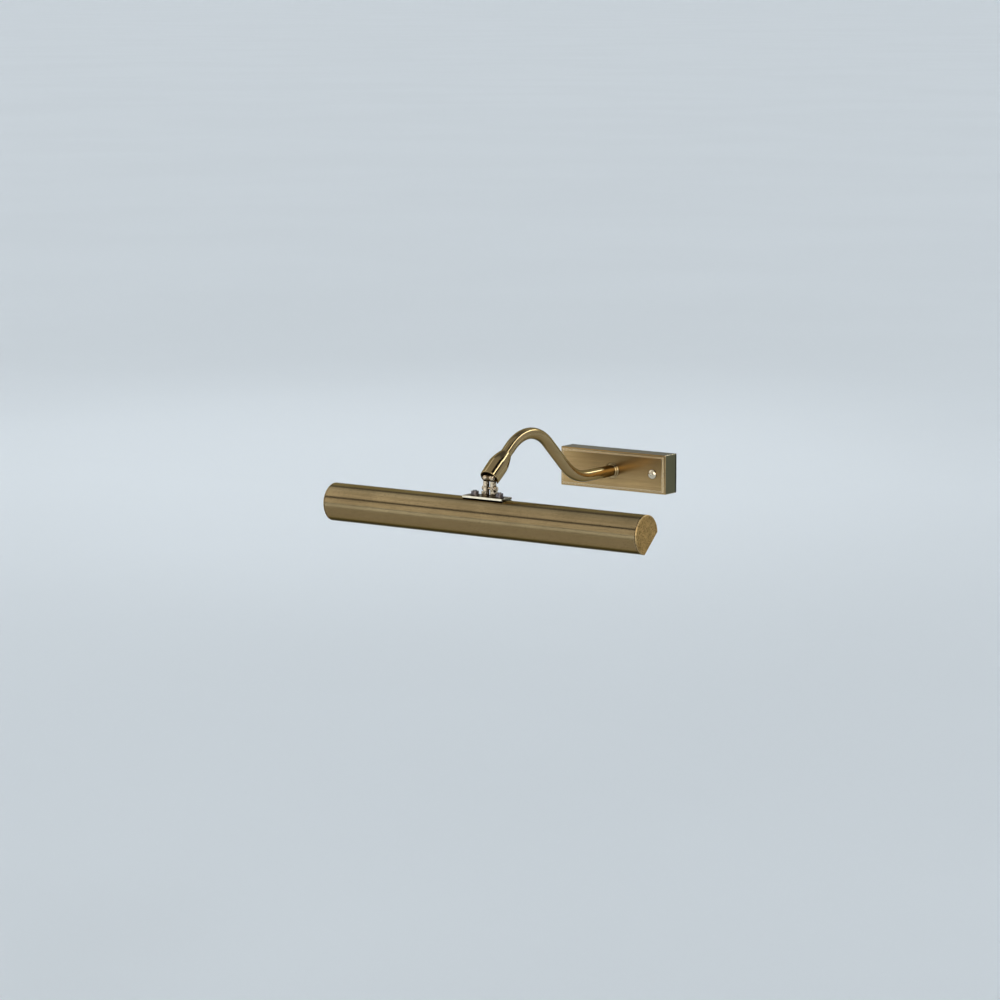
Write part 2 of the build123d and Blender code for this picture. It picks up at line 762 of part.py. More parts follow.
# Backing strip: curved reinforcement inside the shell, under the saddle plate.
backing_radius = inner_radius - 0.1
backing_half_angle = 34.0
backing_half_length = 21.0
backing_height = 11.0
backing_window = (13.0, 9.0)
backing_window_corner = 2.0
with BuildPart() as backing_strip:
    with BuildSketch(Plane.YZ.offset(-backing_half_length)):
        with Locations((shade_y, shade_z)):
            Circle(backing_radius)
            Circle(backing_radius - sheet, mode=Mode.SUBTRACT)
        with Locations((shade_y, shade_z + shade_radius)):
            Rectangle(
                2 * inner_radius * sin(radians(backing_half_angle)), backing_height, mode=Mode.INTERSECT
            )
    extrude(amount=2 * backing_half_length)
    with BuildSketch(Plane.XY.offset(shade_z)):
        with Locations(*saddle_screw_places):
            Circle(saddle_hole_radius)
        with Locations((0, lead_y - 1.0)):
            RectangleRounded(*backing_window, backing_window_corner)
    extrude(amount=2 * shade_radius, mode=Mode.SUBTRACT)
backing_strip.part.label = "backing_strip"
export_step(backing_strip.part, "parts/backing_strip.step")

# Shade grommet: lines the lead hole in the shell.
grommet_inside = 2.5
grommet_outside = 0.7
grommet_flange = 1.0
grommet_rim_radius = 3.5
grommet_bore_radius = 1.85
with BuildPart() as shade_grommet:
    with BuildSketch(lead_hole_plane.offset(-grommet_inside)):
        Circle(lead_hole_radius - 0.1)
    extrude(amount=grommet_inside + grommet_outside)
    with BuildSketch(lead_hole_plane.offset(-grommet_inside)):
        Circle(grommet_flange_radius)
    extrude(amount=grommet_flange)
    with BuildSketch(lead_hole_plane.offset(running_clearance)):
        Circle(grommet_rim_radius)
    extrude(amount=grommet_outside - running_clearance)
    with BuildSketch(lead_hole_plane.offset(-2 * grommet_inside)):
        Circle(grommet_bore_radius)
    extrude(amount=3 * grommet_inside, mode=Mode.SUBTRACT)
shade_grommet.part.label = "shade_grommet"
export_step(shade_grommet.part, "parts/shade_grommet.step")

# Holder bracket: flat strip with two turned-down ears, one for each lamp holder.
bracket_top = -5.1
bracket_half_width = 6.0
bracket_half_length = 19.0
ear_neck = 10.0
ear_radius = 8.5
bracket_corner = 1.0
with BuildPart() as holder_bracket:
    with BuildSketch(Plane.XY.offset(bracket_top)):
        with Locations((0, shade_y)):
            RectangleRounded(2 * bracket_half_length, 2 * bracket_half_width, bracket_corner)
        with Locations(*saddle_screw_places):
            Circle(saddle_hole_radius, mode=Mode.SUBTRACT)
    extrude(amount=-sheet)
    for _, side in SIDES:
        with BuildSketch(Plane.YZ.offset(side * holder_ear)):
            with Locations((shade_y, (bracket_top + lamp_z) / 2)):
                Rectangle(ear_neck, bracket_top - lamp_z)
            with Locations((lamp_y, lamp_z)):
                Circle(ear_radius)
                Circle(stem_radius + 0.1, mode=Mode.SUBTRACT)
        extrude(amount=side * sheet)
holder_bracket.part.label = "holder_bracket"
export_step(holder_bracket.part, "parts/holder_bracket.step")

# Saddle screws, washers and nuts: hold plate, shell, strip and bracket together.
nut_height = 3.0
nut_flats = 7.4
washer_radius_outside = 4.5
washer_radius_inside = 2.15
washer_height = 0.8
saddle_screw_radius = 2.0
saddle_screw_head = (3.8, 2.4)
screw_proud = 0.9
screw_end = saddle_top + washer_height + nut_height + screw_proud
saddle_screw_seats = [
    Plane(origin=(x, y, bracket_top - sheet), x_dir=(1, 0, 0), z_dir=(0, 0, -1))
    for x, y in saddle_screw_places
]
saddle_screws = domed_screws(
    saddle_screw_seats, saddle_screw_head, (saddle_screw_radius, screw_end - bracket_top + sheet), 1.0, 1.2
)
saddle_screws.part.label = "saddle_screws"
export_step(saddle_screws.part, "parts/saddle_screws.step")

with BuildPart() as saddle_washers:
    with BuildSketch(Plane.XY.offset(saddle_top)):
        with Locations(*saddle_screw_places):
            Circle(washer_radius_outside)
            Circle(washer_radius_inside, mode=Mode.SUBTRACT)
    extrude(amount=washer_height)
saddle_washers.part.label = "saddle_washers"
export_step(saddle_washers.part, "parts/saddle_washers.step")

saddle_nuts = hex_nuts(
    [Plane(origin=(x, y, saddle_top + washer_height)) for x, y in saddle_screw_places],
    nut_flats, nut_height, saddle_screw_radius + running_clearance,
)
saddle_nuts.part.label = "saddle_nuts"
export_step(saddle_nuts.part, "parts/saddle_nuts.step")

# =============================================================================
# Lamps and their holders
# =============================================================================

holder_back = holder_ear + sheet
holder_mouth = 46.0
holder_nut_thickness = 3.0
socket_bottom = 24.0
socket_radius = 7.2
holder_waist = (8.0, 20.0)
holder_skirt = (11.5, 22.0)
holder_rim = (10.7, 30.0)
holder_bore = 3.0
holder_stem_reach = 5.0
contact_radius = 2.4
contact_taper = (3.4, 1.6)
cap_shoulder = (6.35, 4.0)
cap_thread_start = 6.0
bulb_neck = (10.5, 3.6)
bulb_shoulder = 9.0
stem_glass = (2.6, 14.0)
filament_radius = 0.5
filament_start = 12.0
filament_end_clear = 8.0
glass_start = lamp_start + lamp_cap_length
glass_end = lamp_start + lamp_length
for side_name, side in SIDES:
    # Lamp holder: stepped moulding with a threaded stem through the bracket's ear.
    with BuildPart() as lampholder:
        with BuildSketch(lamp_plane):
            with BuildLine():
                Polyline(
                    (side * (holder_ear - holder_stem_reach), holder_bore),
                    (side * (holder_ear - holder_stem_reach), stem_radius),
                    (side * holder_back, stem_radius),
                    (side * holder_back, holder_waist[0]),
                    (side * holder_waist[1], holder_waist[0]),
                    (side * holder_skirt[1], holder_skirt[0]),
                    (side * holder_rim[1], holder_skirt[0]),
                    (side * (holder_rim[1] + 0.8), holder_rim[0]),
                    (side * (holder_mouth - 1.0), holder_rim[0]),
                    (side * holder_mouth, holder_rim[0] - 1.0),
                    (side * holder_mouth, socket_radius),
                    (side * socket_bottom, socket_radius),
                    (side * socket_bottom, holder_bore),
                    close=True,
                )
            make_face()
        revolve(axis=lamp_axis)
    lampholder.part.label = f"lampholder_{side_name}"
    export_step(lampholder.part, f"parts/lampholder_{side_name}.step")

    nut_seat = Plane(
        origin=(side * holder_ear, lamp_y, lamp_z), x_dir=(0, 1, 0), z_dir=(-side, 0, 0)
    )
    holder_nut = hex_nuts([nut_seat], 14.0, holder_nut_thickness, stem_radius + running_clearance)
    holder_nut.part.label = f"holder_nut_{side_name}"
    export_step(holder_nut.part, f"parts/holder_nut_{side_name}.step")

    # Lamp cap: screw shell with its contact.
    with BuildPart() as lamp_cap:
        with BuildSketch(lamp_plane):
            with BuildLine():
                Polyline(
                    (side * lamp_start, 0),
                    (side * lamp_start, contact_radius),
                    (side * (lamp_start + contact_taper[1]), contact_taper[0]),
                    (side * (lamp_start + cap_shoulder[1]), cap_shoulder[0]),
                    (side * (lamp_start + cap_thread_start), lamp_cap_radius),
                    (side * glass_start, lamp_cap_radius),
                    (side * glass_start, 0),
                    close=True,
                )
            make_face()
        revolve(axis=lamp_axis)
    lamp_cap.part.label = f"lamp_cap_{side_name}"
    export_step(lamp_cap.part, f"parts/lamp_cap_{side_name}.step")

    # Lamp glass: tubular bulb with a round end, open at its neck where the cap closes it.
    with BuildPart() as lamp_glass:
        for inset, mode in ((0.0, Mode.ADD), (glass_wall, Mode.SUBTRACT)):
            bulb_radius = lamp_radius - inset
            neck = (side * glass_start, lamp_cap_radius - 0.3 - inset)
            waist = (side * (glass_start + bulb_neck[1]), bulb_neck[0] - inset)
            body = (side * (glass_start + bulb_shoulder), bulb_radius)
            dome = (side * (glass_end - lamp_radius), bulb_radius)
            tip = (side * (glass_end - inset), 0)
            round_mid = bulb_radius * sin(radians(45))
            with BuildSketch(lamp_plane):
                with BuildLine():
                    ThreePointArc(neck, waist, body)
                    Line(body, dome)
                    ThreePointArc(dome, (dome[0] + side * round_mid, round_mid), tip)
                    Polyline(tip, (side * glass_start, 0), neck)
                make_face()
            revolve(axis=lamp_axis, mode=mode)
    lamp_glass.part.label = f"lamp_glass_{side_name}"
    export_step(lamp_glass.part, f"parts/lamp_glass_{side_name}.step")

    # Lamp filament: glass stem, two lead wires and the straight filament.
    with BuildPart() as lamp_filament:
        with BuildSketch(Plane.YZ.offset(side * (glass_start + 0.05))):
            with Locations((lamp_y, lamp_z)):
                Circle(stem_glass[0])
        extrude(amount=side * stem_glass[1])
        with BuildSketch(Plane.YZ.offset(side * (glass_start + filament_start))):
            with Locations((lamp_y, lamp_z)):
                Circle(filament_radius)
        extrude(amount=side * (glass_end - glass_start - filament_start - filament_end_clear))
    lamp_filament.part.label = f"lamp_filament_{side_name}"
    export_step(lamp_filament.part, f"parts/lamp_filament_{side_name}.step")

# Shade leads: a core from the grommet to each holder's stem.
lead_normal = lead_hole_plane.z_dir
lead_above = lead_hole_plane.origin + lead_normal * 0.8
lead_below = lead_hole_plane.origin - lead_normal * 3.4
lead_fork_x = 1.2
lead_drop = (3.0, 4.5)
lead_end_x = holder_ear - 2.0
lead_bends = [4.0, 4.0, 2.2, 2.2]
with BuildPart() as shade_leads:
    for _, side in SIDES:
        with BuildLine() as lead_route:
            FilletPolyline(
                (side * core_x, lead_y + 0.9, saddle_top),
                (side * core_x, lead_above.Y, lead_above.Z),
                (side * core_x, lead_below.Y, lead_below.Z),
                (side * lead_fork_x, lamp_y + lead_drop[0], lamp_z + lead_drop[1]),
                (side * lead_fork_x, lamp_y, lamp_z),
                (side * lead_end_x, lamp_y, lamp_z),
                radius=lead_bends,
            )
        with BuildSketch(Plane(lead_route.line @ 0, z_dir=lead_route.line % 0)):
            Circle(core_radius)
        sweep()
shade_leads.part.label = "shade_leads"
export_step(shade_leads.part, "parts/shade_leads.step")
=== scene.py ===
"""Picture light: looks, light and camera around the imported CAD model. Metres; the wall face is Y = 0,
the room is towards -Y, +Z is up and X runs along the shade."""

import math

import bpy
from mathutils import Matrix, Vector


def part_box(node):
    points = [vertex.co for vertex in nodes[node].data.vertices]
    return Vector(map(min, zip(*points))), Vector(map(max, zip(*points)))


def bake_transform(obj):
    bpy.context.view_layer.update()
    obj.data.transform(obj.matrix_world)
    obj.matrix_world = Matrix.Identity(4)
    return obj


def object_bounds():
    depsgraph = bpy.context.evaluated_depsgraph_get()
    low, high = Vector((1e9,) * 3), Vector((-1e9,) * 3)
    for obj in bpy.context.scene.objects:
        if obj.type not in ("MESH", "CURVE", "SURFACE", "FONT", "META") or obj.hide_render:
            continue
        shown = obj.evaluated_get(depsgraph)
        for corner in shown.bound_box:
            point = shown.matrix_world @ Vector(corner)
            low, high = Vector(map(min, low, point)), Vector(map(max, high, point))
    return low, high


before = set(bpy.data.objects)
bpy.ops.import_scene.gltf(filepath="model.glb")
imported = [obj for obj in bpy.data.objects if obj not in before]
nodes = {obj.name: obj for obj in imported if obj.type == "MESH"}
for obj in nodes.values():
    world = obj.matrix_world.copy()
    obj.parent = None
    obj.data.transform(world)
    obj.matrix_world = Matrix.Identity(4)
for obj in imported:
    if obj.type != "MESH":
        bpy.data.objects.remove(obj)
cad_low, cad_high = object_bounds()

MM = 0.001

# ---------- camera ----------
CAMERA_AZIMUTH = math.radians(35.18)
CAMERA_ELEVATION = math.radians(8.52)
CAMERA_DISTANCE = 3.5
CAMERA_LENS = 127.98
CAMERA_SENSOR = 36.0
# The camera aims beside the middle of the object, which stands a little off the middle of the picture.
AIM_OFFSET = Vector((-0.0258, -0.05246, -0.0230))

# ---------- floor ----------
FLOOR_DROP = 0.45
FLOOR_RADIUS = 400.0
FLOOR_SIDES = 64
FLOOR_COLOUR = (0.715, 0.77, 0.815, 1)
FLOOR_PALER = 1.02
FLOOR_MOTTLE = 0.8
FLOOR_ROUGHNESS = 0.7
FLOOR_GLOSS = 0.2

# ---------- studio ----------
# Light arriving from each angle round the X axis: 0 is the room, 90 is up, 180 is the wall. The studio
# has a long softbox on the left, a plain ceiling in the middle and a bright window on the right.
LEFT_BANDS = (
    (-180, 0.62), (-100, 0.60), (-20, 0.80), (-4, 1.00), (2, 1.15), (28, 1.18),
    (31, 0.02), (38, 0.02), (41, 1.18), (60, 1.24), (98, 1.20), (106, 0.90),
    (110, 0.25), (122, 0.32), (130, 0.85), (150, 0.95), (180, 0.85),
)
CEILING_BANDS = (
    (-180, 0.62), (-20, 0.80), (0, 0.80), (28, 0.75), (31, 0.02), (38, 0.02), (41, 0.75), (60, 0.52),
    (104, 0.46), (110, 0.15), (126, 0.20), (140, 0.60), (180, 0.70),
)
RIGHT_BANDS = (
    (-180, 0.62), (-20, 0.80), (0, 1.60), (14, 2.60), (44, 2.60), (58, 0.90), (70, 0.02), (118, 0.02),
    (132, 0.45), (180, 0.62),
)
LEFT_EDGE = (-0.62, -0.50)
RIGHT_EDGE = (0.26, 0.34)
# The light is warmer from the room and cooler from the wall.
ROOM_TINT = (1.0, 0.985, 0.94, 1)
WALL_TINT = (0.93, 1.0, 1.08, 1)
TINT_EDGE = (-0.5, 0.5)
# A strip light that runs overhead in an arc, from the right of the object to behind it. Its borders
# are soft: between two shares of its width along its sides, and over a short fade at its ends.
STRIP_START = Vector((0.75, -0.10, 0.65)).normalized()
STRIP_END = Vector((0.10, 0.90, 0.42)).normalized()
STRIP_WIDTH = 0.070
STRIP_BORDER = (1.15, 0.7)
STRIP_FADE = 0.03
STRIP_LEVEL = 5.5

# Pools of light on the floor: (place, height, cone angle, softness, power).
POOLS = (
    (Vector((-2.0, -2.85)), 2.4, 76, 0.4, 230.0),
    (Vector((2.5, -1.9)), 2.2, 84, 1.0, 150.0),
    (Vector((-2.3, 2.6)), 3.0, 76, 1.0, 50.0),
)
POOL_LAMP_RADIUS = 0.2
FILL_STRENGTH = 0.05
FILL_SPREAD = math.radians(70)

# ---------- brass ----------
# Directions for the painted shade of a material: the way its faces face, and bands by place.
UPWARDS = (0.0, 0.0, 1.0)
DOWNWARDS = (0.0, 0.0, -1.0)
RIGHTWARDS = (1.0, 0.0, 0.0)
AWAY_FROM_ROOM = (0.0, 1.0, 0.0)
SHADE_UNDERSIDE = (0.0, -0.26, -0.966)
# Tones of painted shade, shadow and reflection, laid on faces by the way they face and on bands by
# place.
WARM_PAINTED_SHADE = (0.310, 0.205, 0.090, 1)
DEEP_PAINTED_SHADE = (0.050, 0.046, 0.024, 1)
OLIVE_PAINTED_REFLECTION = (0.130, 0.130, 0.085, 1)
BLACK_PAINTED_SHADOW = (0.012, 0.011, 0.008, 1)
# Tones shared by the brushed parts.
BRASS = (0.335, 0.250, 0.130, 1)
BRASS_DARK = (0.105, 0.072, 0.032, 1)
BRASS_BRIGHT = (0.80, 0.64, 0.38, 1)
# Grain: how fine the brushing is along each axis.
GRAIN_ALONG_SHADE = (30.0, 1900.0, 1900.0)
GRAIN_ROUND_ARM = (2200.0, 60.0, 60.0)
GRAIN_ACROSS_SADDLE = (30.0, 900.0, 900.0)
GRAIN_OF_CAP = (620.0, 620.0, 620.0)
GRAIN_OF_CASTING = (500.0, 500.0, 500.0)
GRAIN_OF_TURNING = (900.0, 900.0, 900.0)
# The streaks are this share as fine as the grain. They blur the borders of the painted shade laid by
# facing.
STREAK_SCALE = 0.16
STREAK_BLUR = 0.04
# The span of each noise over which the brass goes from brushed to dark.
PATCH_SPAN = (0.35, 0.7)
STREAK_SPAN = (0.3, 0.75)
GRAIN_SPAN = (0.45, 0.75)
# How far each kind of darkening goes: everywhere, in the grain, in corners as patina with painted shade,
# and as painted shade on faces by the way they face.
DARK_BASE = 0.04
DARK_GRAIN = 0.22
CORNER_PATINA_AND_SHADE = 0.9
PAINTED_FACING_SHADE = 0.9
SPECK_TONE = 0.35
SPECK_BORDER = 0.14
# Roughness varies with the grain, and rises a little where the brass is dark.
GRAIN_ROUGHNESS = 0.12
DARK_ROUGHNESS = 0.05
PATCH_HEIGHT = 0.6
# Bumps: the fine brushing of the sheet and tube parts, and the deeper lumps of the castings.
BRUSHED = (0.10, 0.05 * MM)
LUMPY = (0.5, 0.30 * MM)
# Reflection of brass at a glancing angle, as a share of a clean mirror's, and its thin lacquer.
EDGE_TINT = (0.42, 0.38, 0.30, 1)
LACQUER = 0.06
LACQUER_ROUGHNESS = 0.10

# ---------- other materials ----------
# The span of a mottle's noise from one tone to the other.
MOTTLE_SPAN = (0.3, 0.7)
# An edge, worn and given a painted highlight, shows where the rounded normal leaves the true one; a
# corner, with patina and painted shade, where the surroundings close in.
EDGE_SPAN = (0.995, 0.90)
CORNER_SPAN = (0.82, 0.35)
# Plated or blackened steel: clouds, edges brightened by wear and a painted glint, and tool marks.
PLATING_CLOUDS = 160.0
EDGE_WEAR_AND_GLINT = 0.6
EDGE_WEAR_AND_GLINT_TONE = 2.4
TOOL_ROUGHNESS = 0.2
TOOL_MARKS = (0.1, 0.05 * MM)
# Mouldings: a mottle and a pitted skin.
MOULDING_MOTTLE = 120.0
PITS = 2100.0
PIT_ROUGHNESS = 0.16
PITTED = (0.15, 0.05 * MM)
# Lamp glass: waves, and dust that roughens it.
GLASS_INDEX = 1.46
GLASS_WAVES = 60.0
WAVY = (0.15, 0.2 * MM)
DUST = 900.0
DUST_SPAN = (0.55, 0.85)
DUST_ROUGHNESS = (0.01, 0.10)

# ---------- leads ----------
# The bare leads at the knuckle: radius, half spacing, and their direction out of the sleeve.
LEAD_RADIUS = 0.8 * MM
LEAD_SPACING = 0.9 * MM
LEAD_FALL = Vector((0, -0.8, -0.6))
LEAD_ROUNDNESS = 5
LEAD_SMOOTHNESS = 10
# They start inside the sleeve, run straight out of it, drop over two points above the shade's lead
# hole, and end inside that.
LEAD_TUCK = 2 * MM
LEAD_RUN = 4 * MM
LEAD_UPPER = Vector((0, 0.6 * MM, 10.5 * MM))
LEAD_LOWER = Vector((0, 0.2 * MM, 4.5 * MM))
LEAD_END = Vector((0, 0, 0.8 * MM))


# =============================================================================
# Node helpers
# =============================================================================


class Nodes:
    """A thin layer over a node tree, so that a material reads as a list of steps."""

    def __init__(self, tree):
        self.tree = tree
        tree.nodes.clear()

    def add(self, kind, **settings):
        node = self.tree.nodes.new(kind)
        for name, value in settings.items():
            setattr(node, name, value)
        return node

    def put(self, socket, value):
        """Links another node's output to a socket, or sets the socket's own value."""
        if isinstance(value, bpy.types.NodeSocket):
            self.tree.links.new(value, socket)
        elif value is not None:
            socket.default_value = value

    def math(self, operation, a, b=None, c=None, clamp=False):
        node = self.add("ShaderNodeMath", operation=operation, use_clamp=clamp)
        for socket, value in zip(node.inputs, (a, b, c)):
            self.put(socket, value)
        return node.outputs[0]

    def add_share(self, total, value, share, clamp=False):
        """total + value x share."""
        return self.math("ADD", total, self.math("MULTIPLY", value, share), clamp=clamp)

    def scaled(self, place, factors):
        node = self.add("ShaderNodeVectorMath", operation="MULTIPLY")
        self.put(node.inputs[0], place)
        self.put(node.inputs[1], factors)
        return node.outputs["Vector"]

    def dot(self, a, b):
        node = self.add("ShaderNodeVectorMath", operation="DOT_PRODUCT")
        self.put(node.inputs[0], a)
        self.put(node.inputs[1], b)
        return node.outputs["Value"]

    def smooth(self, value, low, high, to_low=0.0, to_high=1.0):
        node = self.add("ShaderNodeMapRange", interpolation_type="SMOOTHSTEP")
        for socket, item in zip(node.inputs, (value, low, high, to_low, to_high)):
            self.put(socket, item)
        return node.outputs[0]

    def mix(self, factor, a, b, blend="MIX"):
        node = self.add("ShaderNodeMix", data_type="RGBA", blend_type=blend)
        self.put(node.inputs["Factor"], factor)
        self.put(node.inputs["A"], a)
        self.put(node.inputs["B"], b)
        return node.outputs["Result"]

    def noise(self, place, scale, detail=3.0, roughness=0.5):
        node = self.add("ShaderNodeTexNoise")
        self.put(node.inputs["Vector"], place)
        self.put(node.inputs["Scale"], scale)
        self.put(node.inputs["Detail"], detail)
        self.put(node.inputs["Roughness"], roughness)
        return node.outputs["Fac"]

    def ramp(self, factor, stops):
        node = self.add("ShaderNodeValToRGB")
        elements = node.color_ramp.elements
        while len(elements) < len(stops):
            elements.new(0.5)
        for element, (position, colour) in zip(elements, stops):
            element.position = position
            element.color = colour
        self.put(node.inputs["Fac"], factor)
        return node.outputs["Color"]

    def bump(self, height, strength, distance):
        node = self.add("ShaderNodeBump")
        self.put(node.inputs["Strength"], strength)
        self.put(node.inputs["Distance"], distance)
        self.put(node.inputs["Height"], height)
        return node.outputs["Normal"]

    def principled(self, colour, roughness, **others):
        """A principled shader. The other sockets are named with _ for a space."""
        shader = self.add("ShaderNodeBsdfPrincipled")
        self.put(shader.inputs["Base Color"], colour)
        self.put(shader.inputs["Roughness"], roughness)
        for name, value in others.items():
            self.put(shader.inputs[name.replace("_", " ")], value)
        return shader

    def finish(self, shader, kind="ShaderNodeOutputMaterial"):
        self.put(self.add(kind).inputs["Surface"], shader.outputs[0])


def new_material(name):
    material = bpy.data.materials.new(name)
    material.use_nodes = True
    return material, Nodes(material.node_tree)


def scaled_tone(colour, factor):
    return tuple(min(1.0, c * factor) for c in colour[:3]) + (1,)


def link(thing):
    bpy.context.scene.collection.objects.link(thing)
    return thing


# =============================================================================
# Camera, light and floor
# =============================================================================


def make_camera():
    sideways, down = math.sin(CAMERA_AZIMUTH), math.cos(CAMERA_AZIMUTH)
    level = math.cos(CAMERA_ELEVATION)
    back = Vector((sideways * level, -down * level, math.sin(CAMERA_ELEVATION)))
    data = bpy.data.cameras.new("camera")
    data.lens = CAMERA_LENS
    data.sensor_width = CAMERA_SENSOR
    camera = link(bpy.data.objects.new("camera", data))
    aim = (cad_low + cad_high) / 2 + AIM_OFFSET
    camera.location = aim + back * CAMERA_DISTANCE
    camera.rotation_mode = "QUATERNION"
    camera.rotation_quaternion = (-back).to_track_quat("-Z", "Y")
    bpy.context.scene.camera = camera


def light_bands(n, turn, bands):
    """The level at each angle round the X axis, where turn goes from 0 at -180 degrees to 1 at 180."""
    return n.ramp(turn, [((angle + 180) / 360, (level, level, level, 1)) for angle, level in bands])


def strip_light(n, direction):
    """1 inside the curved strip light, 0 elsewhere, with a soft border."""
    pole = STRIP_START.cross(STRIP_END).normalized()
    middle = (STRIP_START + STRIP_END).normalized()
    outer, inner = STRIP_BORDER
    across = n.math("ABSOLUTE", n.dot(direction, pole))
    inside = n.smooth(across, STRIP_WIDTH * outer, STRIP_WIDTH * inner)
    end = STRIP_START.dot(middle)
    along = n.smooth(n.dot(direction, middle), end - STRIP_FADE, end + STRIP_FADE)
    return n.math("MULTIPLY", inside, along)


def make_world():
    world = bpy.data.worlds.new("studio")
    world.use_nodes = True
    bpy.context.scene.world = world
    n = Nodes(world.node_tree)
    direction = n.add("ShaderNodeTexCoord").outputs["Generated"]
    split = n.add("ShaderNodeSeparateXYZ")
    n.put(split.inputs[0], direction)
    x, y, z = split.outputs
    angle = n.math("ARCTAN2", z, n.math("MULTIPLY", y, -1.0))
    turn = n.math("MULTIPLY_ADD", angle, 0.5 / math.pi, 0.5)
    left, ceiling, right = (light_bands(n, turn, b) for b in (LEFT_BANDS, CEILING_BANDS, RIGHT_BANDS))
    level = n.mix(n.smooth(x, *LEFT_EDGE), left, ceiling)
    level = n.mix(n.smooth(x, *RIGHT_EDGE), level, right)
    level = n.math("MULTIPLY_ADD", strip_light(n, direction), STRIP_LEVEL, level)
    tint = n.ramp(n.smooth(y, *TINT_EDGE), [(0, ROOM_TINT), (1, WALL_TINT)])
    background = n.add("ShaderNodeBackground")
    n.put(background.inputs["Color"], n.mix(1.0, level, tint, "MULTIPLY"))
    n.finish(background, "ShaderNodeOutputWorld")


def make_lights():
    """Pools of light on the floor, and a weak sun that fills the shadows."""
    floor_height = cad_low.z - FLOOR_DROP
    for i, (place, height, cone, softness, power) in enumerate(POOLS):
        data = bpy.data.lights.new(f"pool_{i}", "SPOT")
        data.energy = power
        data.spot_size = math.radians(cone)
        data.spot_blend = softness
        data.shadow_soft_size = POOL_LAMP_RADIUS
        pool = link(bpy.data.objects.new(f"pool_{i}", data))
        pool.location = (place.x, place.y, floor_height + height)
    data = bpy.data.lights.new("fill", "SUN")
    data.energy = FILL_STRENGTH
    data.angle = FILL_SPREAD
    fill = link(bpy.data.objects.new("fill", data))
    fill.visible_glossy = False


def floor_material():
    material, n = new_material("pale_floor")
    mottle = n.noise(n.add("ShaderNodeTexCoord").outputs["Object"], FLOOR_MOTTLE, 4.0)
    colour = n.mix(n.smooth(mottle, *MOTTLE_SPAN), FLOOR_COLOUR, scaled_tone(FLOOR_COLOUR, FLOOR_PALER))
    n.finish(n.principled(colour, FLOOR_ROUGHNESS, Specular_IOR_Level=FLOOR_GLOSS))
    return material


def make_floor():
    height = cad_low.z - FLOOR_DROP
    around = [2 * math.pi * i / FLOOR_SIDES for i in range(FLOOR_SIDES)]
    rim = [(FLOOR_RADIUS * math.cos(t), FLOOR_RADIUS * math.sin(t), height) for t in around]
    mesh = bpy.data.meshes.new("floor")
    mesh.from_pydata(rim, [], [tuple(range(FLOOR_SIDES))])
    floor = link(bpy.data.objects.new("floor", mesh))
    mesh.materials.append(floor_material())


# =============================================================================
# Kinds of material
# =============================================================================


def worn_and_highlit_edges(n, radius):
    """1 on edges and corners, 0 on open faces: where edges are worn and carry a painted highlight."""
    rounded = n.add("ShaderNodeBevel", samples=4)
    n.put(rounded.inputs["Radius"], radius)
    true_normal = n.add("ShaderNodeNewGeometry").outputs["Normal"]
    return n.smooth(n.dot(rounded.outputs["Normal"], true_normal), *EDGE_SPAN)


def crevice_patina_and_shade(n, distance):
    """1 deep in corners and recesses, 0 in the open: where patina collects and where painted shade
    darkens the brass.
    """
    shut = n.add("ShaderNodeAmbientOcclusion", samples=6)
    n.put(shut.inputs["Distance"], distance)
    return n.smooth(shut.outputs["AO"], *CORNER_SPAN)


